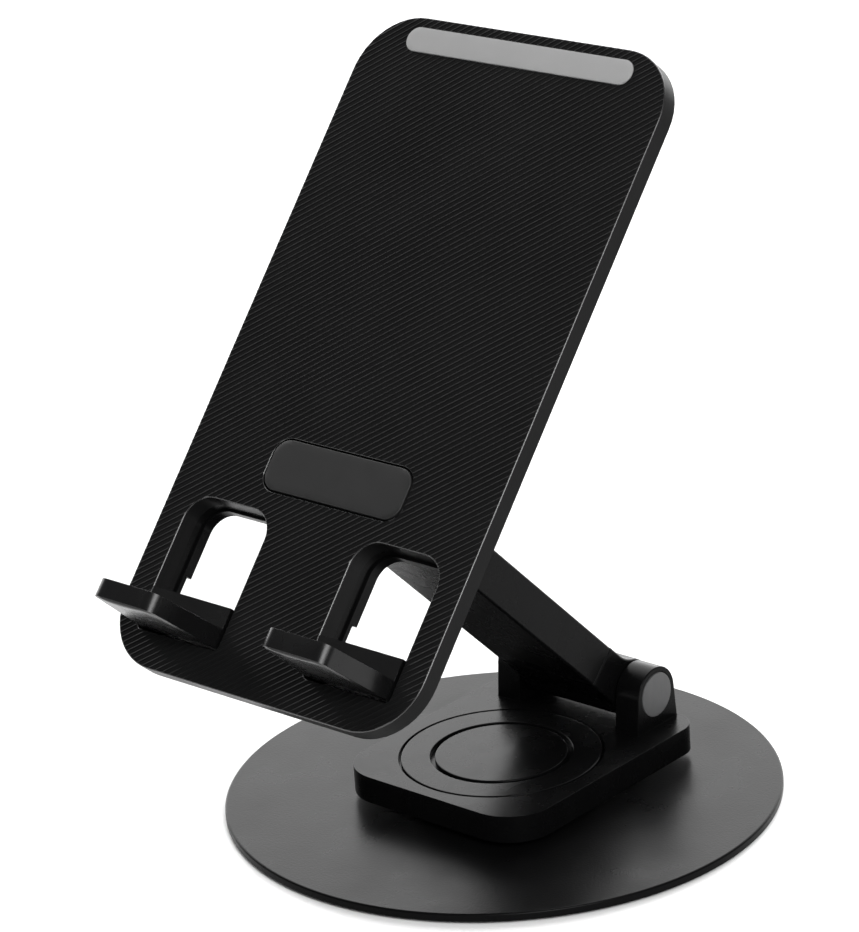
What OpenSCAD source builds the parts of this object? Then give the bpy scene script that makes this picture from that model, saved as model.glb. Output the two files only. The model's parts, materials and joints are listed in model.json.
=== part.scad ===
// Folding phone stand: a ribbed back plate with two fold-out hooks, on an arm that is
// hinged at both ends and stands on a swivelling block over a round metal base.
// The origin is on the underside of the base, on the swivel axis. +X is the stand's
// right side, -Y is the front, +Z is up.

/* [Base] */
// Diameter of the metal base
base_d = 100; // [90:1:130]
// Thickness of the metal base
base_t = 1.5; // [1:0.1:4]
// Thickness of the soft pad under the base
pad_t = 0.5; // [0.3:0.1:1.5]

/* [Swivel block] */
// Width of the block
block_w = 43; // [40:1:60]
// Distance from the swivel axis to the front of the block
block_front = 21; // [20:0.5:30]
// Distance from the swivel axis to the back of the block
block_back = 30; // [30:0.2:36]
// Thickness of the block
block_t = 5; // [4.6:0.1:8]
// Diameter of the round cap over the swivel bolt
cap_d = 23.8; // [22:0.2:26]
// Outer diameter of the ring round that cap
ring_d = 36; // [32:0.5:38]

/* [Arm] */
// Distance from the lower pivot to the upper pivot
arm_length = 69; // [62:0.5:90]
// Width of the arm
arm_w = 21.8; // [18:0.2:26]
// Thickness of the arm between its ends
arm_t = 7.7; // [6:0.1:8]
// Angle of the arm above the horizontal
arm_angle = 44.9; // [35:0.1:70]

/* [Plate] */
// Width of the plate
plate_w = 68; // [64:0.2:90]
// Height of the plate along its own slope
plate_h = 123.6; // [110:0.2:160]
// Corner radius of the plate
plate_r = 11.5; // [8:0.5:20]
// Lean of the plate back from the vertical
plate_lean = 41; // [20:0.5:50]
// Thickness of the front panel at its edge
panel_t = 3.6; // [2.6:0.1:4]
// Thickness of the back cover
cover_t = 4; // [3.6:0.1:6]

/* [Hooks] */
// Distance from the plate's middle to the middle of each hook
hook_x = 19.2; // [17:0.1:22]
// How far a hook reaches in front of the plate
hook_reach = 16.2; // [12:0.1:18]
// Thickness of a hook
hook_t = 3.2; // [2.6:0.1:4]
// Height of the window that a hook folds into
window_h = 25.1; // [24:0.1:30]

/* [Hidden] */
$fn = 96;
eps = 0.01;

// Clearances: between parts that stay put, and of a shaft that turns in its bore
seat_gap = 0.02;
run_gap = 0.06;

// Heights of the base and the swivel, from the surface that the stand rests on
base_top = pad_t + base_t;
washer_t = 1.4;
block_z = base_top + washer_t;
block_top = block_z + block_t;
lid_t = 1.1;
lid_z = block_top - lid_t;
stud_r = 3;
stud_head_r = 7;
nut_r = 5.5;
nut_seat_z = block_z + 1.6;
wave_t = 0.4;
ring_gap = 0.5;
cap_gap = 0.9;

// Lower pivot, which runs along X
pivot_y = 24.2;
pivot_z = block_top + 6.1;
pin_r = 2.2;
knuckle_r = 5.3;
ear_r = 5.2;
ear_in = arm_w / 2 + 0.35;
ear_out = ear_in + 5.25;
ear_flare = 0.6;
cap_r = 4.1;
cap_t = 1.1;
cap_proud = 0.15;
spacer_t = 0.25;
spacer_r = 4.6;

// The arm's section lies a little below the line between its pivots
arm_up = 3.2;
arm_down = arm_t - arm_up;
arm_edge_r = 0.5;
knuckle_up = 3.3;
knuckle_len = 10.8;
knuckle_blend = 8;
tongue_w = 13;
tongue_t = 3;
tongue_len = 8;

// The plate's own frame: x across, y up its slope, z out of its front face
pivot_b = 40.25;
bracket_t = 1.8;
plate_back = panel_t + cover_t;
pivot_depth = plate_back + 7.8;
cover_inset = 0.6;
cover_taper = 3.4;
cover_rim = 0.3;
recess_t = 0.8;
strip = [49.8, 4.6, 2.25];
strip_b = plate_h - 4.25;
grip = [30.6, 9.2, 3];
grip_b = 39.85;
proud = 0.2;

// Hooks and their windows
window_w = 18.9;
window_b = 6.25;
window_r = 4.8;
window_foot_r = 1;
hook_axis_b = 10.45;
hook_axis_depth = 3.5;
barrel_r = 3.8;
barrel_w = window_w - 0.6;
hook_root_w = window_w - 0.6;
hook_tip_w = 14.2;
hook_bend_r = 2.6;
hook_under_b = 6.75;
hook_pin_r = 1.2;
hook_pin_len = window_w + 5;
notch_h = 11.8;
notch_side = 1;
notch_t = 1.6;

// Screws that hold the hinge bracket: [across, up the plate]
screw_head_r = 2.4;
screw_head_t = 1.1;
screw_r = 1.2;
screw_len = 3.5;
SCREWS = [[-6, 37.5], [6, 37.5], [-13, 51.5], [13, 51.5]];
bracket = [38, 22.4, 3];
bracket_b = 45.2;

// ---------- places ----------

module at_lower_pivot() {
    translate([0, pivot_y, pivot_z]) children();
}

// In the arm's frame -Y runs up the arm and +Z is the arm's upper side
module in_arm() {
    at_lower_pivot() rotate([-arm_angle, 0, 0]) children();
}

module at_upper_pivot() {
    in_arm() translate([0, -arm_length, 0]) rotate([arm_angle, 0, 0]) children();
}

module in_plate() {
    at_upper_pivot()
        rotate([90 - plate_lean, 0, 0])
            translate([0, -pivot_b, pivot_depth]) children();
}

// ---------- shapes that repeat ----------

// A flat outline w wide and h high round the origin, with corners of radius r
module rounded_outline(w, h, r) {
    square([w - 2 * r, h], center = true);
    square([w, h - 2 * r], center = true);
    for (x = [-1, 1], y = [-1, 1])
        translate([x * (w / 2 - r), y * (h / 2 - r)]) circle(r);
}

module rounded_slab(w, h, r, t) {
    linear_extrude(t) rounded_outline(w, h, r);
}

// A round bar along X between two places
module x_bar(x0, x1, r) {
    translate([x0, 0, 0]) rotate([0, 90, 0]) cylinder(h = x1 - x0, r = r);
}

// An outline drawn in the YZ plane, made solid between two places along X
module along_x(x0, x1) {
    translate([x0, 0, 0]) rotate([90, 0, 90]) linear_extrude(x1 - x0) children();
}

// The point where a line from p touches a circle of radius r round the origin
function touch(p, r, side) =
    let (d = norm(p), a = atan2(p[1], p[0]) + side * acos(r / d)) r * [cos(a), sin(a)];

// Side view of a pivot ear: a round head that flares to a foot h below its middle
module ear_profile(h) {
    foot = ear_r + ear_flare;
    circle(ear_r);
    polygon([[-foot, -h], [foot, -h], touch([foot, -h], ear_r, 1), touch([-foot, -h], ear_r, -1)]);
}

// Both ears of a pivot, without their bores
module ear_pair(h) {
    for (side = [0, 1]) mirror([side, 0, 0]) along_x(ear_in, ear_out) ear_profile(h);
}

// What is bored out of a pair of ears: the pin's hole and a seat for each end cap
module ear_bores() {
    x_bar(-ear_out - 1, ear_out + 1, pin_r + seat_gap);
    for (side = [0, 1]) mirror([side, 0, 0])
        x_bar(ear_out - cap_t + cap_proud, ear_out + 1, cap_r + seat_gap);
}

module pivot_pin() {
    x_bar(-ear_out + cap_t, ear_out - cap_t, pin_r);
}

module pivot_washers() {
    for (side = [0, 1]) mirror([side, 0, 0]) difference() {
        x_bar(arm_w / 2 + 0.05, arm_w / 2 + 0.05 + spacer_t, spacer_r);
        x_bar(0, ear_out, pin_r + run_gap);
    }
}

// Silver end cap; side is -1 for the left ear and 1 for the right
module pivot_cap(side) {
    mirror([side < 0 ? 1 : 0, 0, 0])
        x_bar(ear_out - cap_t + cap_proud, ear_out + cap_proud, cap_r);
}

// End of the arm, pivot at the origin and the seam with the bar at -knuckle_len
module knuckle() {
    blend_z = knuckle_up + knuckle_blend;
    reach = knuckle_r + knuckle_blend;
    blend_y = -sqrt(reach * reach - blend_z * blend_z);
    difference() {
        union() {
            along_x(-arm_w / 2, arm_w / 2) {
                circle(knuckle_r);
                translate([-knuckle_len, -arm_down]) square([knuckle_len, arm_down + knuckle_up]);
                difference() {
                    polygon([[blend_y, knuckle_up], knuckle_r / reach * [blend_y, blend_z], [0, 0]]);
                    translate([blend_y, blend_z]) circle(knuckle_blend);
                }
            }
            translate([-tongue_w / 2, -knuckle_len - tongue_len, (arm_up - arm_down - tongue_t) / 2])
                cube([tongue_w, tongue_len + 1, tongue_t]);
        }
        x_bar(-arm_w, arm_w, pin_r + run_gap);
    }
}

// ---------- base ----------

module base_disc() {
    color("#1b1b1c") difference() {
        translate([0, 0, pad_t]) cylinder(h = base_t, d = base_d, $fn = 180);
        cylinder(h = base_top + 1, r = stud_r + seat_gap);
        translate([0, 0, pad_t - eps]) cylinder(h = base_t / 3 + eps, r = stud_head_r + seat_gap);
    }
}

module foot_pad() {
    color("#202020") cylinder(h = pad_t, d = base_d - 3, $fn = 180);
}

module swivel_stud() {
    color("#8f8f90") translate([0, 0, pad_t]) {
        cylinder(h = base_t / 3, r = stud_head_r);
        cylinder(h = lid_z - 0.2 - pad_t, r = stud_r);
    }
}

module bearing_washer() {
    color("#262626") translate([0, 0, base_top]) difference() {
        cylinder(h = washer_t, r = cap_d / 2 + 4);
        translate([0, 0, -1]) cylinder(h = washer_t + 2, r = stud_r + run_gap);
    }
}

module wave_washer() {
    color("#9a9a9b") translate([0, 0, nut_seat_z]) difference() {
        cylinder(h = wave_t, r = nut_r + 1);
        translate([0, 0, -1]) cylinder(h = wave_t + 2, r = stud_r + run_gap);
    }
}

module swivel_nut() {
    nut_z = nut_seat_z + wave_t;
    color("#8f8f90") translate([0, 0, nut_z]) difference() {
        cylinder(h = lid_z - 0.3 - nut_z, r = nut_r, $fn = 6);
        translate([0, 0, -1]) cylinder(h = block_t, r = stud_r + seat_gap);
    }
}

// ---------- swivel block ----------

// Plan of the block: wide round corners at the front, tighter ones at the back
module block_plan() {
    front_r = 8.5;
    back_r = 4.5;
    mid_y = (block_back - block_front) / 2;
    translate([0, mid_y]) square([block_w - 2 * front_r, block_front + block_back], center = true);
    translate([-block_w / 2, front_r - block_front])
        square([block_w, block_front + block_back - front_r - back_r]);
    translate([-block_w / 2 + back_r, 0]) square([block_w - 2 * back_r, block_back]);
    for (side = [-1, 1]) {
        translate([side * (block_w / 2 - front_r), front_r - block_front]) circle(front_r);
        translate([side * (block_w / 2 - back_r), block_back - back_r]) circle(back_r);
    }
}

module swivel_block() {
    color("#1c1c1d") difference() {
        union() {
            translate([0, 0, block_z]) linear_extrude(block_t) block_plan();
            at_lower_pivot() ear_pair(pivot_z - block_top + 1);
        }
        cylinder(h = block_top, r = stud_r + run_gap);
        translate([0, 0, nut_seat_z]) cylinder(h = block_t, r = nut_r + 3);
        translate([0, 0, lid_z]) cylinder(h = block_t, r = ring_d / 2 + ring_gap);
        at_lower_pivot() ear_bores();
    }
}

module cover_ring() {
    color("#1e1e1f") translate([0, 0, lid_z]) difference() {
        cylinder(h = lid_t, d = ring_d);
        translate([0, 0, -1]) cylinder(h = lid_t + 2, r = cap_d / 2 + cap_gap);
    }
}

module swivel_cap() {
    color("#1e1e1f") translate([0, 0, lid_z]) cylinder(h = lid_t, d = cap_d);
}

module lower_pin() {
    color("#9a9a9b") at_lower_pivot() pivot_pin();
}

module lower_washers() {
    color("#303030") at_lower_pivot() pivot_washers();
}

module lower_cap_left() {
    color("#6e6e6e") at_lower_pivot() pivot_cap(-1);
}

module lower_cap_right() {
    color("#6e6e6e") at_lower_pivot() pivot_cap(1);
}

// ---------- arm ----------

module arm_bar() {
    bar_len = arm_length - 2 * knuckle_len;
    pocket = tongue_len + 0.3;
    color("#1d1d1e") in_arm() difference() {
        translate([0, -knuckle_len, (arm_up - arm_down) / 2]) rotate([90, 0, 0])
            rounded_slab(arm_w, arm_t, arm_edge_r, bar_len);
        for (y = [-knuckle_len, -knuckle_len - bar_len])
            translate([0, y, (arm_up - arm_down) / 2])
                cube([tongue_w + 0.1, 2 * pocket, tongue_t + 0.1], center = true);
    }
}

module lower_knuckle() {
    color("#1b1b1c") in_arm() knuckle();
}

module upper_knuckle() {
    color("#1b1b1c") in_arm() translate([0, -arm_length, 0]) mirror([0, 1, 0]) knuckle();
}

// ---------- plate ----------

// The two windows that the hooks fold into, bottom edge at window_b
module windows(z0, z1) {
    for (side = [-1, 1]) translate([side * hook_x, window_b + window_h / 2, z0]) {
        rounded_slab(window_w, window_h, window_r, z1 - z0);
        translate([0, -window_h / 4, 0])
            rounded_slab(window_w, window_h / 2, window_foot_r, z1 - z0);
    }
}

// Bores for the hooks' pins, which lie between the front panel and the back cover
module hook_pin_bores() {
    for (side = [-1, 1]) translate([side * hook_x, hook_axis_b, -hook_axis_depth])
        x_bar(-hook_pin_len / 2, hook_pin_len / 2, hook_pin_r + seat_gap);
}

// Seats for the strip and the grip pad, gap wider than the piece all round
module inlay(size, b, gap, z0, z1) {
    translate([0, b, z0]) rounded_slab(size[0] + 2 * gap, size[1] + 2 * gap, size[2] + gap, z1 - z0);
}

module front_panel() {
    color("#191919") in_plate() difference() {
        translate([0, plate_h / 2, -panel_t]) rounded_slab(plate_w, plate_h, plate_r, panel_t);
        windows(-panel_t - 1, 1);
        inlay(strip, strip_b, seat_gap, -recess_t, 1);
        inlay(grip, grip_b, 0.35, -recess_t, 1);
        hook_pin_bores();
    }
}

module back_cover() {
    outer = cover_inset;
    inner = cover_inset + cover_taper;
    color("#171717") in_plate() difference() {
        translate([0, plate_h / 2, -plate_back]) hull() {
            rounded_slab(plate_w - 2 * inner, plate_h - 2 * inner, plate_r - inner,
                2 * cover_rim, $fn = 32);
            translate([0, 0, cover_t - cover_rim])
                rounded_slab(plate_w - 2 * outer, plate_h - 2 * outer, plate_r - outer,
                    cover_rim, $fn = 32);
        }
        windows(-plate_back - 1, 0);
        hook_pin_bores();
        for (side = [-1, 1]) translate([side * hook_x, window_b + notch_h / 2, -plate_back])
            cube([window_w + 2 * notch_side, notch_h, 2 * notch_t], center = true);
        for (at = SCREWS) translate([at[0], at[1], -plate_back - 1])
            cylinder(h = 1 + screw_len - bracket_t + screw_head_t, r = screw_r + seat_gap);
    }
}

module top_strip() {
    color("#9d9d9d") in_plate() inlay(strip, strip_b, 0, -recess_t, proud);
}

module lower_pad() {
    color("#2d2d2d") in_plate() inlay(grip, grip_b, 0, -recess_t, proud / 2);
}

module hinge_bracket() {
    color("#1b1b1c") in_plate() difference() {
        union() {
            translate([0, bracket_b, -plate_back - bracket_t])
                rounded_slab(bracket[0], bracket[1], bracket[2], bracket_t);
            translate([0, pivot_b, -pivot_depth]) rotate([180, 0, 0])
                ear_pair(pivot_depth - plate_back);
        }
        translate([0, pivot_b, -pivot_depth]) ear_bores();
        for (at = SCREWS) translate([at[0], at[1], -plate_back - bracket_t]) {
            translate([0, 0, -1]) cylinder(h = bracket_t + 2, r = screw_r + seat_gap);
            translate([0, 0, -1]) cylinder(h = 1 + screw_head_t, r = screw_head_r + seat_gap);
        }
    }
}

module bracket_screws() {
    color("#4a4a4b") in_plate() for (at = SCREWS)
        translate([at[0], at[1], -plate_back - bracket_t]) {
            cylinder(h = screw_head_t, r = screw_head_r);
            cylinder(h = screw_head_t + screw_len - bracket_t, r = screw_r);
        }
}

module upper_pin() {
    color("#9a9a9b") at_upper_pivot() pivot_pin();
}

module upper_washers() {
    color("#303030") at_upper_pivot() pivot_washers();
}

module upper_cap_left() {
    color("#6e6e6e") at_upper_pivot() pivot_cap(-1);
}

module upper_cap_right() {
    color("#6e6e6e") at_upper_pivot() pivot_cap(1);
}

// ---------- hooks ----------

// Moves its children to the hook on one side, with the hinge axis at the origin
module at_hook(side) {
    in_plate() translate([side * hook_x, hook_axis_b, -hook_axis_depth]) children();
}

// Plan of a hook: as wide as its window at the plate, narrower at the tip
module hook_plan() {
    tip = hook_axis_depth + hook_reach;
    hull() {
        translate([-hook_root_w / 2, 0]) square([hook_root_w, hook_axis_depth + 1]);
        for (x = [-1, 1])
            translate([x * (hook_tip_w / 2 - hook_bend_r), tip - hook_bend_r])
                circle(hook_bend_r, $fn = 32);
    }
}

module hook(side) {
    under = hook_under_b - hook_axis_b;
    at_hook(side) difference() {
        union() {
            x_bar(-barrel_w / 2, barrel_w / 2, barrel_r);
            translate([-barrel_w / 2, 0, 0]) cube([barrel_w, barrel_r, barrel_r]);
            translate([0, under + hook_t, 0]) rotate([90, 0, 0])
                linear_extrude(hook_t) hook_plan();
        }
        x_bar(-window_w, window_w, hook_pin_r + run_gap);
    }
}

module hook_pin(side) {
    at_hook(side) x_bar(-hook_pin_len / 2, hook_pin_len / 2, hook_pin_r);
}

module hook_left() {
    color("#1c1c1c") hook(-1);
}

module hook_right() {
    color("#1c1c1c") hook(1);
}

module hook_pin_left() {
    color("#8f8f90") hook_pin(-1);
}

module hook_pin_right() {
    color("#8f8f90") hook_pin(1);
}

base_disc();
foot_pad();
swivel_stud();
bearing_washer();
wave_washer();
swivel_nut();
swivel_block();
cover_ring();
swivel_cap();
lower_pin();
lower_washers();
lower_cap_left();
lower_cap_right();
arm_bar();
lower_knuckle();
upper_knuckle();
front_panel();
back_cover();
top_strip();
lower_pad();
hinge_bracket();
bracket_screws();
upper_pin();
upper_washers();
upper_cap_left();
upper_cap_right();
hook_pin_left();
hook_pin_right();
hook_left();
hook_right();
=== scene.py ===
# Folding phone stand: detailed meshes, materials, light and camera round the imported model.
import json
import math

import bmesh
import bpy
from mathutils import Matrix, Vector


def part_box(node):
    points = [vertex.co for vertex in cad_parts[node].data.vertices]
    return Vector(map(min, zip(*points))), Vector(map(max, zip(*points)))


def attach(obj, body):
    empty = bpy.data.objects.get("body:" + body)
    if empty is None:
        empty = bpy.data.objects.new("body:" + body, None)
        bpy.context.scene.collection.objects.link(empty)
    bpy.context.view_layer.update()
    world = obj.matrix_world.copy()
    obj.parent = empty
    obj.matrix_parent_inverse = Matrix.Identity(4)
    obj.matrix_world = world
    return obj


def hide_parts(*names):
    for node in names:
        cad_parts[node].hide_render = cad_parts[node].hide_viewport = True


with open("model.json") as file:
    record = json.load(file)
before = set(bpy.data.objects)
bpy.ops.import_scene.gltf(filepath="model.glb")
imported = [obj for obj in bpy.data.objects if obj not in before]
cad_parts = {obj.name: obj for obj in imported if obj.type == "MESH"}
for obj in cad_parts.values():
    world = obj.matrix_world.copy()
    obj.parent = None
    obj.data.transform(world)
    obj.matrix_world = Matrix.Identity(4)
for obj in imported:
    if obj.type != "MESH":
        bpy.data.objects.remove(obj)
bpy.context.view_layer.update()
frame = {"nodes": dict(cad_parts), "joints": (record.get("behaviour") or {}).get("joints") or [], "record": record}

MM = 0.001
NODES = frame["nodes"]
RECORD = frame["record"]
BODY = {node: body for body, nodes in RECORD["behaviour"]["bodies"].items() for node in nodes}
SLOT = {part["node"]: part["material_slot"] for part in RECORD["subparts"]}
PIVOT = {joint["name"]: Vector(joint["pos_m"]) for joint in frame["joints"]}
ACROSS = Vector((1, 0, 0))


# ---------- places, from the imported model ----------

def largest_face_normal(node):
    """The direction that most of a node's area faces, or its opposite if that points down"""
    areas = {}
    for face in NODES[node].data.polygons:
        key = tuple(round(c, 4) for c in face.normal)
        areas[key] = areas.get(key, 0) + face.area
    normal = Vector(max(areas, key=areas.get)).normalized()
    return normal if normal.z > 0 else -normal


def axes_at(origin, normal):
    """A frame with X across the stand, Z along the normal, and Y up the slope between them"""
    matrix = Matrix((ACROSS, normal.cross(ACROSS), normal)).transposed().to_4x4()
    matrix.translation = origin
    return matrix


def span(node, place):
    """Lowest and highest corner of a CAD node in another frame"""
    inward = place.inverted()
    points = [inward @ v.co for v in NODES[node].data.vertices]
    low = Vector(min(p[i] for p in points) for i in range(3))
    high = Vector(max(p[i] for p in points) for i in range(3))
    return low, high


PANEL_NORMAL = largest_face_normal("front_panel")
UPRIGHT = axes_at(Vector(), PANEL_NORMAL)
panel_low, panel_high = span("front_panel", UPRIGHT)

# The plate's frame: x across, y up its slope from the lower edge, z out of its front face
PLATE = axes_at(UPRIGHT @ Vector((0, panel_low.y, panel_high.z)), PANEL_NORMAL)
PLATE_SIZE = panel_high - panel_low
PLATE_R = 11.5 * MM
PLATE_OUTLINE = ((0, PLATE_SIZE.y / 2), (PLATE_SIZE.x, PLATE_SIZE.y), (PLATE_R, PLATE_R))
COVER_BACK = span("back_cover", PLATE)[0].z


# ---------- mesh tools ----------

CORNER_STEPS = 4
SAME_POINT = 0.001 * MM
SAME_LEVEL = 0.01 * MM
SAME_PLANE = math.radians(0.3)
ON_AXIS = 0.01 * MM
LEAST_RADIUS = 0.02 * MM


def edge_middle(edge):
    return (edge.verts[0].co + edge.verts[1].co) / 2


def cad_mesh(node):
    """A copy of a CAD node with its flat faces made whole again"""
    mesh = bmesh.new()
    mesh.from_mesh(NODES[node].data)
    bmesh.ops.remove_doubles(mesh, verts=mesh.verts, dist=SAME_POINT)
    bmesh.ops.dissolve_limit(
        mesh, angle_limit=SAME_PLANE, verts=mesh.verts, edges=mesh.edges)
    return mesh


def round_edges(mesh, width, where=None, segments=3, over=35):
    """Rounds the edges that turn by more than an angle, all of them or those that pass a test"""
    edges = []
    for edge in mesh.edges:
        sharp = len(edge.link_faces) == 2 and edge.calc_face_angle() > math.radians(over)
        if sharp and (where is None or where(edge)):
            edges.append(edge)
    bmesh.ops.bevel(
        mesh, geom=edges, offset=width, offset_type="OFFSET", segments=segments,
        profile=0.5, affect="EDGES", clamp_overlap=True)
    return mesh


def add_piece(name, mesh, material, *nodes, smooth=38, lip_material=None):
    """Makes a piece that stands for CAD nodes and rides on their body"""
    bmesh.ops.recalc_face_normals(mesh, faces=mesh.faces)
    data = bpy.data.meshes.new(name)
    mesh.to_mesh(data)
    mesh.free()
    data.shade_smooth()
    data.set_sharp_from_angle(angle=math.radians(smooth))
    data.materials.append(material)
    if lip_material:
        data.materials.append(lip_material)
    piece = bpy.data.objects.new(name, data)
    bpy.context.scene.collection.objects.link(piece)
    even = piece.modifiers.new("even_shading", "WEIGHTED_NORMAL")
    even.keep_sharp = True
    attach(piece, BODY[nodes[0]])
    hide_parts(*nodes)


def rounded_cad(name, node, material, width):
    """A piece with the CAD node's own shape and rounded edges"""
    add_piece(name, round_edges(cad_mesh(node), width), material, node)


def fillet(r, z, radius, turn_in, turn_down):
    """Points of a quarter-round corner at (r, z), from the flat face to the wall"""
    points = []
    for i in range(CORNER_STEPS + 1):
        t = math.pi / 2 * i / CORNER_STEPS
        points.append((
            r + turn_in * radius * (1 - math.sin(t)),
            z + turn_down * radius * (1 - math.cos(t))))
    return points


def turned(profile, segments=192):
    """A solid turned round the Z axis from a closed outline of (radius, height) points"""
    mesh = bmesh.new()
    rows = []
    for r, z in profile:
        if r < ON_AXIS:
            rows.append([mesh.verts.new((0, 0, z))] * segments)
            continue
        ring = []
        for i in range(segments):
            a = 2 * math.pi * i / segments
            ring.append(mesh.verts.new((r * math.cos(a), r * math.sin(a), z)))
        rows.append(ring)
    for low, high in zip(rows, rows[1:] + rows[:1]):
        for i in range(segments):
            j = (i + 1) % segments
            corners = list(dict.fromkeys((low[i], low[j], high[j], high[i])))
            if len(corners) > 2:
                mesh.faces.new(corners)
    return mesh


def disc_profile(radius, low, high, top_r, bottom_r):
    """Outline of a round plate with both rims rounded"""
    top = fillet(radius, high, top_r, -1, -1)
    bottom = fillet(radius, low, bottom_r, -1, 1)
    return [(0, high)] + top + bottom[::-1] + [(0, low)]


def ring_profile(inner, outer, low, high, rim_r):
    """Outline of a flat ring with its four rims rounded"""
    return (fillet(outer, high, rim_r, -1, -1) + fillet(outer, low, rim_r, -1, 1)[::-1]
            + fillet(inner, low, rim_r, 1, 1) + fillet(inner, high, rim_r, 1, -1)[::-1])


def rounded_ring(centre, size, radii, inset, z, steps=12):
    """Points round a rectangle whose upper and lower corners have radii, drawn in by inset"""
    points = []
    corners = ((1, 1, radii[0]), (-1, 1, radii[0]), (-1, -1, radii[1]), (1, -1, radii[1]))
    for quarter, (side, end, full) in enumerate(corners):
        radius = max(full - inset, LEAST_RADIUS)
        x = centre[0] + side * (size[0] / 2 - inset - radius)
        y = centre[1] + end * (size[1] / 2 - inset - radius)
        for i in range(steps + 1):
            a = math.pi / 2 * (quarter + i / steps)
            points.append(Vector((x + radius * math.cos(a), y + radius * math.sin(a), z)))
    return points


def border(centre, size, radii, levels):
    """Rings of one border, from the front of a slab to its back: levels are (inset, z)"""
    return [rounded_ring(centre, size, radii, inset, z) for inset, z in levels]


def lip(radius, z):
    """Levels of a rounded front lip whose wall is at inset 0"""
    return fillet(0, z, radius, 1, -1)


def hole_lip(radius, z):
    """The same for a hole, which is wider at its lip"""
    return [(-inset, height) for inset, height in lip(radius, z)]


def open_slab(borders, seats=0, lip_steps=0):
    """A slab and its front faces: the last borders are seats, which end in floors of their own,
    and the first steps of every wall take the lip's material"""
    mesh = bmesh.new()
    front, back = [], []
    for index, rings in enumerate(borders):
        rows = [[mesh.verts.new(p) for p in ring] for ring in rings]
        for level, (near, far) in enumerate(zip(rows, rows[1:])):
            for i in range(len(near)):
                wall = mesh.faces.new((near[i - 1], near[i], far[i], far[i - 1]))
                wall.material_index = 1 if level < lip_steps else 0
        front += [mesh.edges.get((rows[0][i - 1], rows[0][i])) for i in range(len(rows[0]))]
        if index >= len(borders) - seats:
            mesh.faces.new(rows[-1])
        else:
            back += [mesh.edges.get((rows[-1][i - 1], rows[-1][i])) for i in range(len(rows[-1]))]
    bmesh.ops.triangle_fill(mesh, edges=back, use_beauty=True)
    made = bmesh.ops.triangle_fill(mesh, edges=front, use_beauty=True)["geom"]
    return mesh, [f for f in made if isinstance(f, bmesh.types.BMFace)]


# ---------- materials ----------

NOISE_LOW = 0.3
NOISE_HIGH = 0.7
# Size of a material's patches of gloss, as a share of its patches of tone
GLOSS_PATCH = 0.6


def link(tree, source, target):
    tree.links.new(source, target)


def noise(tree, coordinates, size, detail, stretch=None):
    """A noise texture whose features are about size across"""
    texture = tree.nodes.new("ShaderNodeTexNoise")
    texture.inputs["Scale"].default_value = 1 / size
    texture.inputs["Detail"].default_value = detail
    if stretch:
        mapping = tree.nodes.new("ShaderNodeMapping")
        mapping.inputs["Scale"].default_value = stretch
        link(tree, coordinates, mapping.inputs["Vector"])
        coordinates = mapping.outputs["Vector"]
    link(tree, coordinates, texture.inputs["Vector"])
    return texture.outputs["Fac"]


def spread(tree, value, low, high):
    """Maps a noise, which stays near the middle of 0 to 1, to a range"""
    ranged = tree.nodes.new("ShaderNodeMapRange")
    ranged.inputs["From Min"].default_value = NOISE_LOW
    ranged.inputs["From Max"].default_value = NOISE_HIGH
    ranged.inputs["To Min"].default_value = low
    ranged.inputs["To Max"].default_value = high
    link(tree, value, ranged.inputs["Value"])
    return ranged.outputs["Result"]


def finish_of(name, color, roughness, grain, depth, mottle=0.12, patch=9 * MM, uneven=0.05,
              metallic=0.0, stretch=None, specular=0.5):
    """A material with fine relief, uneven gloss and faint patches of tone"""
    material = bpy.data.materials.new(name)
    material.use_nodes = True
    tree = material.node_tree
    shader = tree.nodes["Principled BSDF"]
    shader.inputs["Metallic"].default_value = metallic
    shader.inputs["Specular IOR Level"].default_value = specular
    place = tree.nodes.new("ShaderNodeTexCoord").outputs["Object"]
    tone = tree.nodes.new("ShaderNodeMixRGB")
    tone.inputs["Color1"].default_value = (*[c * (1 - mottle) for c in color], 1)
    tone.inputs["Color2"].default_value = (*[c * (1 + mottle) for c in color], 1)
    link(tree, spread(tree, noise(tree, place, patch, 4), 0, 1), tone.inputs["Fac"])
    link(tree, tone.outputs["Color"], shader.inputs["Base Color"])
    gloss = noise(tree, place, patch * GLOSS_PATCH, 5, stretch)
    link(tree, spread(tree, gloss, roughness - uneven, roughness + uneven),
         shader.inputs["Roughness"])
    bump = tree.nodes.new("ShaderNodeBump")
    bump.inputs["Distance"].default_value = depth
    bump.inputs["Strength"].default_value = 1
    link(tree, noise(tree, place, grain, 2, stretch), bump.inputs["Height"])
    link(tree, bump.outputs["Normal"], shader.inputs["Normal"])
    return material


BLACK = (0.002, 0.002, 0.0021)
SHEEN = 0.045
POLISH = 0.25
satin_plastic = finish_of(
    "satin_black_plastic", BLACK, roughness=0.27, grain=0.25 * MM, depth=0.006 * MM,
    specular=SHEEN)
ribbed_plastic = finish_of(
    "ribbed_black_plastic", (0.0045, 0.0045, 0.0046), roughness=0.34, grain=0.2 * MM,
    depth=0.008 * MM, patch=14 * MM, specular=SHEEN)
hook_plastic = finish_of(
    "polished_black_plastic", BLACK, roughness=0.25, grain=0.25 * MM, depth=0.004 * MM,
    specular=POLISH)
lip_plastic = finish_of(
    "polished_black_lip", BLACK, roughness=0.24, grain=0.2 * MM, depth=0.004 * MM, specular=0.7)
powder_coat = finish_of(
    "black_powder_coat", BLACK, roughness=0.3, grain=0.42 * MM, depth=0.02 * MM,
    patch=20 * MM, specular=SHEEN)
foot_rubber = finish_of(
    "foot_rubber", (0.015, 0.015, 0.015), roughness=0.75, grain=0.5 * MM, depth=0.03 * MM)
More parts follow.
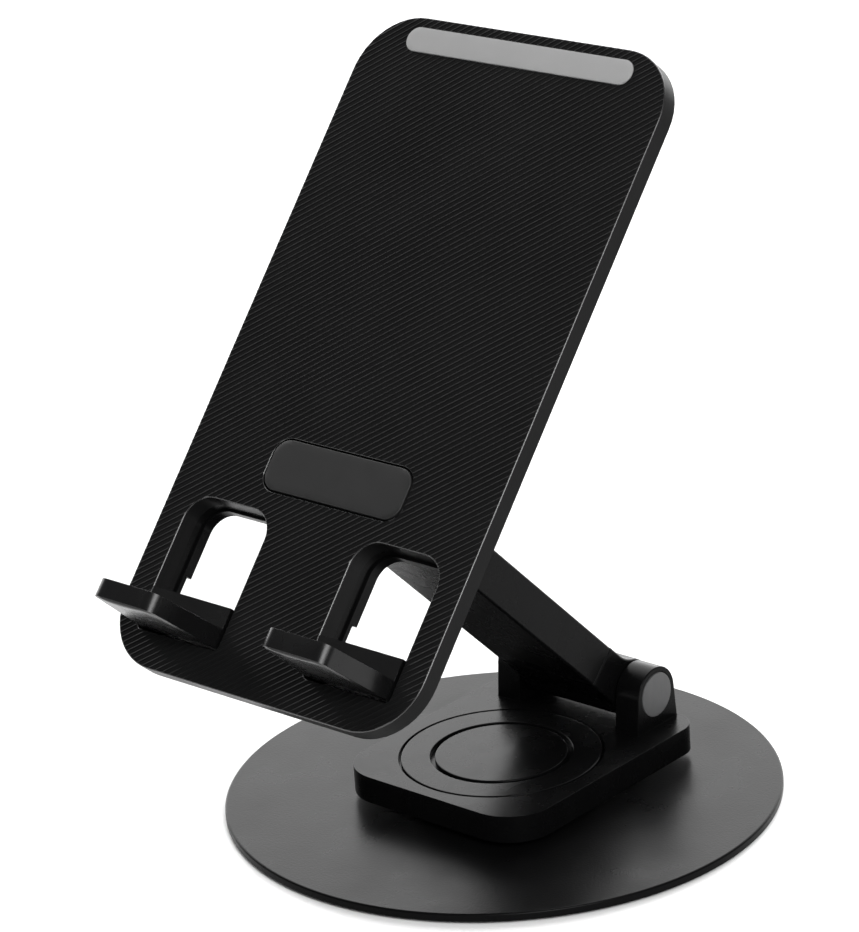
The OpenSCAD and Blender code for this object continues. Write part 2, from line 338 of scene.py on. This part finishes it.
light_silicone = finish_of(
    "light_grey_silicone", (0.2, 0.2, 0.2), roughness=0.6, grain=0.18 * MM, depth=0.008 * MM,
    mottle=0.03)
dark_silicone = finish_of(
    "dark_grey_silicone", (0.007, 0.007, 0.007), roughness=0.5, grain=0.2 * MM,
    depth=0.01 * MM, mottle=0.1, patch=5 * MM, specular=0.3)
grey_cap = finish_of(
    "satin_grey_cap", (0.034, 0.034, 0.035), roughness=0.42, grain=0.12 * MM,
    depth=0.004 * MM, mottle=0.05, patch=2 * MM, stretch=(1, 1, 0.25))
steel = finish_of(
    "turned_steel", (0.45, 0.45, 0.46), roughness=0.35, grain=0.15 * MM, depth=0.004 * MM,
    metallic=1.0, mottle=0.06, stretch=(0.2, 1, 1))
black_steel = finish_of(
    "blackened_steel", (0.03, 0.03, 0.031), roughness=0.4, grain=0.2 * MM, depth=0.005 * MM,
    metallic=0.6)
nylon = finish_of(
    "black_nylon", (0.02, 0.02, 0.02), roughness=0.5, grain=0.3 * MM, depth=0.006 * MM)

# What each CAD node wears, whether it is seen itself or a piece stands for it
CARRIED = {
    "zinc_steel": steel, "black_nylon": nylon, "black_screw": black_steel, "grey_cap": grey_cap,
    "foot_rubber": foot_rubber, "black_plastic": satin_plastic,
    "black_powder_coat": powder_coat, "grey_silicone": light_silicone,
    "dark_silicone": dark_silicone,
}
for node, part in NODES.items():
    part.data.materials.clear()
    part.data.materials.append(CARRIED[SLOT[node]])


# ---------- base ----------

def disc_piece(name, node, material, top_edge, under_edge):
    """A round plate as wide and thick as its CAD node, with rounded rims"""
    low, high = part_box(node)
    profile = disc_profile(high.x, low.z, high.z, top_edge, under_edge)
    add_piece(name, turned(profile), material, node)


# ---------- swivel ----------

LID_GROOVE = 0.9 * MM
LID_RING_EDGE = 0.18 * MM
BLOCK_TOP_EDGE = 0.55 * MM
EAR_EDGE = 0.2 * MM
EAR_FOOT = 0.8 * MM
TOP_BAND = 0.1 * MM
BORE_MARGIN = 2 * MM


def swivel_lid_ring():
    """The flat ring round the swivel's cap, a groove's width away from it"""
    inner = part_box("swivel_cap")[1].x + LID_GROOVE
    low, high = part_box("cover_ring")
    ring = ring_profile(inner, high.x, low.z, high.z, LID_RING_EDGE)
    add_piece("swivel_lid_ring", turned(ring), satin_plastic, "cover_ring")


def swivel_body():
    """The block and its ears: a wide round on the block's top outline, a small one on the ears"""
    mesh = cad_mesh("swivel_block")
    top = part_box("swivel_cap")[1].z
    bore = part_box("cover_ring")[1].x + BORE_MARGIN

    def outside_top(edge):
        middle = edge_middle(edge)
        return abs(middle.z - top) < TOP_BAND and middle.xy.length > bore

    round_edges(mesh, BLOCK_TOP_EDGE, outside_top, segments=4)
    round_edges(mesh, EAR_EDGE, lambda edge: edge_middle(edge).z > top + EAR_FOOT)
    add_piece("swivel_body", mesh, satin_plastic, "swivel_block")


# ---------- arm ----------

BEAM_EDGE = 0.12 * MM
KNUCKLE_EDGE = 0.5 * MM


def arm_parts():
    rounded_cad("arm_beam", "arm_bar", satin_plastic, BEAM_EDGE)
    rounded_cad("arm_lower_end", "lower_knuckle", satin_plastic, KNUCKLE_EDGE)
    rounded_cad("arm_upper_end", "upper_knuckle", satin_plastic, KNUCKLE_EDGE)


# ---------- plate ----------

RIB_PITCH = 1.014 * MM
RIB_SLANT = math.radians(38.6)
RIB_HEIGHT = 0.07 * MM
# One rib: how far across its pitch each line lies, and its height there as a share of the rib's
RIB_LINES = ((0.0, 0.0), (0.56, 0.0), (0.7, 1.0), (0.86, 1.0))
RIB_ACROSS = Vector((-math.sin(RIB_SLANT), math.cos(RIB_SLANT), 0))
CUT_TOLERANCE = 0.0005 * MM

WINDOW_X = PIVOT["right_hook_fold"].x
WINDOW = (18.9 * MM, 25.1 * MM)
WINDOW_BOTTOM = 6.25 * MM
WINDOW_RADII = (4.8 * MM, 1 * MM)
RIM_DEPTH = 5.3 * MM
RIM_STEP = 0.5 * MM
RIM_SLOPE = 0.1 * MM
RIM_BACK_EDGE = (0.12 * MM, 0.15 * MM)
NOTCH_WIDTH = 1 * MM
NOTCH_TOP = WINDOW_BOTTOM + 11.8 * MM
NOTCH_DEPTH = 1.6 * MM
NOTCH_STEP = 0.01 * MM

PANEL_LIP = 0.16 * MM
PANEL_BACK_EDGE = 0.15 * MM
WINDOW_LIP = 0.2 * MM
SEAT_LIP = 0.1 * MM
STRIP_CORNER = 2.25 * MM
PAD_CORNER = 3 * MM
# What is glued into the panel: its node, the gap round it, and its corner radius
SEATS = (("top_strip", 0.06 * MM, STRIP_CORNER), ("lower_pad", 0.35 * MM, PAD_CORNER))

COVER_INSET = 0.6 * MM
COVER_SEAM = 0.2 * MM
COVER_LEAN = 3.4 * MM
COVER_EDGE = 0.8 * MM
# The cover's wall towards its back: share of its lean, and height over the back as share of its edge
COVER_WALL = ((0.8, 1.0), (0.93, 0.35), (1.0, 0.1))


def rib_height(point):
    """Height of the ribbed face above its grooves at a point of the plate"""
    phase = (point.dot(RIB_ACROSS) / RIB_PITCH) % 1.0
    lines = RIB_LINES + ((1.0, 0.0),)
    for (start, low), (end, high) in zip(lines, lines[1:]):
        if phase <= end:
            return RIB_HEIGHT * (low + (high - low) * (phase - start) / (end - start))


def cut_ribs(mesh, faces):
    """Cuts the front faces along every rib line, then lifts the ribs out of the grooves"""
    places = [v.co.dot(RIB_ACROSS) for f in faces for v in f.verts]
    first = math.floor(min(places) / RIB_PITCH)
    last = math.ceil(max(places) / RIB_PITCH)
    ahead, done = list(faces), []
    for index in range(first, last + 1):
        for share, _ in RIB_LINES:
            place = (index + share) * RIB_PITCH
            edges = dict.fromkeys(e for f in ahead for e in f.edges)
            verts = dict.fromkeys(v for f in ahead for v in f.verts)
            cut = bmesh.ops.bisect_plane(
                mesh, geom=[*ahead, *edges, *verts], dist=CUT_TOLERANCE,
                plane_co=RIB_ACROSS * place, plane_no=RIB_ACROSS)["geom"]
            pieces = [f for f in cut if isinstance(f, bmesh.types.BMFace)]
            ahead = [f for f in pieces if f.calc_center_median().dot(RIB_ACROSS) > place]
            done += [f for f in pieces if f.calc_center_median().dot(RIB_ACROSS) <= place]
    for vertex in dict.fromkeys(v for f in [*done, *ahead] for v in f.verts):
        vertex.co.z += rib_height(vertex.co)


def seat_border(node, gap):
    """Centre, size and floor of the shallow seat that a strip or pad is glued into"""
    low, high = span(node, PLATE)
    centre, size = (low + high) / 2, high - low + Vector((2 * gap, 2 * gap, 0))
    return centre, size, low.z


def window_centre(side):
    return side * WINDOW_X, WINDOW_BOTTOM + WINDOW[1] / 2


def ribbed_panel():
    """Front panel: ribbed face, polished lips, two windows and two shallow seats"""
    groove = -RIB_HEIGHT
    back = -PLATE_SIZE.z
    outside = lip(PANEL_LIP, groove) + [(0, back + PANEL_BACK_EDGE), (PANEL_BACK_EDGE, back)]
    opening = hole_lip(WINDOW_LIP, groove) + [(0, back)]
    borders = [border(*PLATE_OUTLINE, outside)]
    for side in (-1, 1):
        borders.append(border(window_centre(side), WINDOW, WINDOW_RADII, opening))
    for node, gap, corner in SEATS:
        centre, size, floor = seat_border(node, gap)
        levels = hole_lip(SEAT_LIP, groove) + [(0, floor)]
        borders.append(border(centre, size, (corner + gap, corner + gap), levels))
    mesh, front = open_slab(borders, seats=len(SEATS), lip_steps=CORNER_STEPS)
    cut_ribs(mesh, front)
    mesh.transform(PLATE)
    add_piece(
        "ribbed_front_panel", mesh, ribbed_plastic, "front_panel", smooth=24,
        lip_material=lip_plastic)


def notched(ring, centre, is_open):
    """Adds points where a window's ring passes the notch's top, and widens an open ring below"""
    points = []
    for point, after in zip(ring, ring[1:] + ring[:1]):
        points.append(point)
        if (point.y - NOTCH_TOP) * (after.y - NOTCH_TOP) < 0:
            goes_down = point.y > after.y
            for y in sorted((NOTCH_TOP, NOTCH_TOP + NOTCH_STEP), reverse=goes_down):
                points.append(Vector((point.x, y, point.z)))
    if is_open:
        for point in points:
            if point.y <= NOTCH_TOP + SAME_POINT:
                point.x += math.copysign(NOTCH_WIDTH, point.x - centre[0])
    return points


def back_shell():
    """Back cover: walls that lean in, a rim in each window and a notch in the rim's foot"""
    front, back = -PLATE_SIZE.z, COVER_BACK
    outside = [(COVER_INSET + COVER_SEAM, front), (COVER_INSET, front - COVER_SEAM)]
    for lean, rise in COVER_WALL:
        outside.append((COVER_INSET + COVER_LEAN * lean, back + COVER_EDGE * rise))
    outside.append((COVER_INSET + COVER_LEAN + 0.5 * COVER_EDGE, back))
    notch_floor = back + NOTCH_DEPTH
    rim = [(0, front), (0, -RIM_DEPTH), (0.4 * RIM_STEP, -RIM_DEPTH)]
    rim += [(RIM_STEP, -RIM_DEPTH - RIM_SLOPE), (RIM_STEP, notch_floor + NOTCH_STEP)]
    in_notch = [(RIM_STEP, notch_floor), (RIM_STEP, back + RIM_BACK_EDGE[1])]
    in_notch += [(RIM_STEP - RIM_BACK_EDGE[0], back)]
    borders = [border(*PLATE_OUTLINE, outside)]
    for side in (-1, 1):
        centre = window_centre(side)
        rings = border(centre, WINDOW, WINDOW_RADII, rim + in_notch)
        borders.append([notched(r, centre, level >= len(rim)) for level, r in enumerate(rings)])
    mesh, _ = open_slab(borders)
    mesh.transform(PLATE)
    add_piece("back_shell", mesh, satin_plastic, "back_cover", smooth=30)


# Insets where a strip's face starts to fall, and where it has fallen by 0.3 of its crown
CROWN_INSETS = (1.6 * MM, 0.9 * MM)


def glued_strip(name, node, material, corner, edge, crown):
    """A soft strip with a rounded rim and a face that swells a little in the middle"""
    low, high = span(node, PLATE)
    centre, size = (low + high) / 2, high - low
    top = high.z
    levels = [(CROWN_INSETS[0], top), (CROWN_INSETS[1], top - 0.3 * crown), (edge, top - crown)]
    levels += [(0.3 * edge, top - crown - 0.3 * edge), (0, top - crown - edge), (0, low.z)]
    mesh, _ = open_slab([border(centre, size, (corner, corner), levels)])
    mesh.transform(PLATE)
    add_piece(name, mesh, material, node, smooth=60)


BRACKET_EDGE = 0.35 * MM
CAP_EDGE = 0.12 * MM
SCREW_EDGE = 0.2 * MM


def hinge_parts():
    """The bracket behind the plate with its screws, and the end caps of both pivots"""
    rounded_cad("tilt_bracket", "hinge_bracket", satin_plastic, BRACKET_EDGE)
    for node in ("lower_cap_left", "lower_cap_right", "upper_cap_left", "upper_cap_right"):
        rounded_cad(node.replace("cap", "end_cap"), node, grey_cap, CAP_EDGE)
    rounded_cad("bracket_screw_set", "bracket_screws", black_steel, SCREW_EDGE)


# ---------- hooks ----------

HOOK_EDGE = 0.4 * MM
# Cosines of the angle to straight down: the first for edges left sharp, the second for the flat face
FACES_DOWN = 0.9
STRAIGHT_DOWN = 0.99
BELLY = 0.45 * MM
BELLY_MARGIN = 0.35 * MM
BELLY_SHIFT = 3 * MM
ROOT_HEIGHT = 3.3 * MM
ROOT_TAPER = 0.9 * MM
# How much is left of what the hook's root has above its height
ROOT_REST = 0.1
# Size of each ring of the pillow, as a share of the flat face
BELLY_SHARES = (0.97, 0.9, 0.78, 0.6, 0.38, 0.15)


def swell(mesh, face, height):
    """Swells a flat face into a pillow, highest towards the tip, with a flat margin round it"""
    bmesh.ops.inset_individual(mesh, faces=[face], thickness=BELLY_MARGIN, depth=0)
    out = PLATE.to_3x3() @ Vector((0, 0, 1))
    centre = face.calc_center_median() + out * BELLY_SHIFT
    normal = face.normal.copy()
    start = [v.co.copy() for v in face.verts]
    for share in BELLY_SHARES:
        bmesh.ops.inset_individual(mesh, faces=[face], thickness=0, depth=0)
        rise = normal * height * math.sqrt(1 - share * share)
        for vertex, co in zip(face.verts, start):
            vertex.co = centre + (co - centre) * share + rise


def fold_out_hook(side):
    """A hook with a flattened root, and a swollen underside that rises towards the root"""
    mesh = cad_mesh(f"hook_{side}")
    inward = PLATE.inverted()
    down = -(PLATE.to_3x3() @ Vector((0, 1, 0)))
    round_edges(
        mesh, HOOK_EDGE,
        lambda edge: all(f.normal.dot(down) < FACES_DOWN for f in edge.link_faces))
    underside = [f for f in mesh.faces if f.normal.dot(down) > STRAIGHT_DOWN]
    level = min((inward @ v.co).y for f in underside for v in f.verts)
    reach = max((inward @ v.co).z for v in mesh.verts)
    root_top = (inward @ PIVOT[f"{side}_hook_fold"]).y + ROOT_HEIGHT
    for vertex in mesh.verts:
        place = inward @ vertex.co
        if place.y > root_top:
            place.y = root_top + ROOT_REST * (place.y - root_top)
        if abs(place.y - level) < SAME_LEVEL:
            place.y += ROOT_TAPER * (1 - place.z / reach)
        vertex.co = PLATE @ place
    swell(mesh, max(underside, key=lambda f: f.calc_area()), BELLY)
    add_piece(f"fold_out_hook_{side}", mesh, hook_plastic, f"hook_{side}")


disc_piece("base_plate", "base_disc", powder_coat, top_edge=0.4 * MM, under_edge=0.25 * MM)
disc_piece("base_foot", "foot_pad", foot_rubber, top_edge=0.05 * MM, under_edge=0.15 * MM)
disc_piece("swivel_lid_cap", "swivel_cap", satin_plastic, top_edge=0.22 * MM, under_edge=0.05 * MM)
swivel_lid_ring()
swivel_body()
arm_parts()
ribbed_panel()
back_shell()
glued_strip(
    "upper_grip_strip", "top_strip", light_silicone, STRIP_CORNER, edge=0.15 * MM, crown=0.05 * MM)
glued_strip(
    "lower_grip_pad", "lower_pad", dark_silicone, PAD_CORNER, edge=0.12 * MM, crown=0.03 * MM)
hinge_parts()
fold_out_hook("left")
fold_out_hook("right")


# ---------- studio ----------

FLOOR_REACH = 6.0
FLOOR_WHITE = (0.74, 0.74, 0.74)


def studio_floor():
    mesh = bpy.data.meshes.new("studio_floor")
    corners = ((-1, -1), (1, -1), (1, 1), (-1, 1))
    mesh.from_pydata(
        [(x * FLOOR_REACH, y * FLOOR_REACH, 0) for x, y in corners], [], [(0, 1, 2, 3)])
    paper = finish_of(
        "white_paper", FLOOR_WHITE, roughness=0.8, grain=2 * MM, depth=0.01 * MM, mottle=0.01)
    mesh.materials.append(paper)
    floor = bpy.data.objects.new("studio_floor", mesh)
    bpy.context.scene.collection.objects.link(floor)


def softbox(name, place, aim, size, power):
    """A square light that the camera doesn't see"""
    light = bpy.data.lights.new(name, "AREA")
    light.shape = "RECTANGLE"
    light.size = size
    light.size_y = size
    light.energy = power
    lamp = bpy.data.objects.new(name, light)
    lamp.location = place
    lamp.rotation_euler = (Vector(aim) - Vector(place)).to_track_quat("-Z", "Y").to_euler()
    lamp.visible_camera = False
    bpy.context.scene.collection.objects.link(lamp)


# The key light and a small glint in its middle come from the stand's front right
KEY_PLACE = (0.72, -0.45, 0.62)
KEY_AIM = (0, -0.05, 0.06)
GLOW_FROM = Vector((-0.6, 0.74, 0.3)).normalized()
GLOW = 5.5
AMBIENT = 0.28
# Cosines of the angles from the glow's middle where it begins and where it is full
GLOW_EDGE = 0.45
GLOW_CORE = 0.85


def studio_sky():
    """A dim grey room with one wide soft glow, low behind the stand's left side"""
    world = bpy.data.worlds.new("studio_sky")
    bpy.context.scene.world = world
    world.use_nodes = True
    tree = world.node_tree
    facing = tree.nodes.new("ShaderNodeVectorMath")
    facing.operation = "DOT_PRODUCT"
    facing.inputs[1].default_value = GLOW_FROM
    link(tree, tree.nodes.new("ShaderNodeTexCoord").outputs["Generated"], facing.inputs[0])
    fade = tree.nodes.new("ShaderNodeMapRange")
    fade.interpolation_type = "SMOOTHSTEP"
    fade.inputs["From Min"].default_value = GLOW_EDGE
    fade.inputs["From Max"].default_value = GLOW_CORE
    fade.inputs["To Min"].default_value = AMBIENT
    fade.inputs["To Max"].default_value = GLOW
    link(tree, facing.outputs["Value"], fade.inputs["Value"])
    link(tree, fade.outputs["Result"], tree.nodes["Background"].inputs["Strength"])
    tree.nodes["Background"].inputs["Color"].default_value = (1, 1, 1, 1)


LENS_MM = 153.5
SENSOR_MM = 36
CAMERA_PLACE = Vector((0.4296, -0.4805, 0.3099))
CAMERA_TARGET = Vector((-0.0234, 0.01182, 0.05455))
CAMERA_ROLL = math.radians(4.03)


def camera():
    """A long lens from the stand's front right, above it"""
    data = bpy.data.cameras.new("camera")
    data.lens = LENS_MM
    data.sensor_width = SENSOR_MM
    view = bpy.data.objects.new("camera", data)
    bpy.context.scene.collection.objects.link(view)
    forward = (CAMERA_TARGET - CAMERA_PLACE).normalized()
    level = forward.cross(Vector((0, 0, 1))).normalized()
    right = Matrix.Rotation(CAMERA_ROLL, 3, forward) @ level
    matrix = Matrix((right, right.cross(forward), -forward)).transposed().to_4x4()
    matrix.translation = CAMERA_PLACE
    view.matrix_world = matrix
    bpy.context.scene.camera = view


studio_floor()
studio_sky()
softbox("overhead_softbox", (0.0, 0.1, 1.5), (0, 0, 0.05), size=2.6, power=8)
softbox("key_softbox", KEY_PLACE, KEY_AIM, size=0.6, power=8)
softbox("glint_softbox", KEY_PLACE, KEY_AIM, size=0.16, power=4)
camera()
bpy.context.scene.view_settings.view_transform = "Standard"
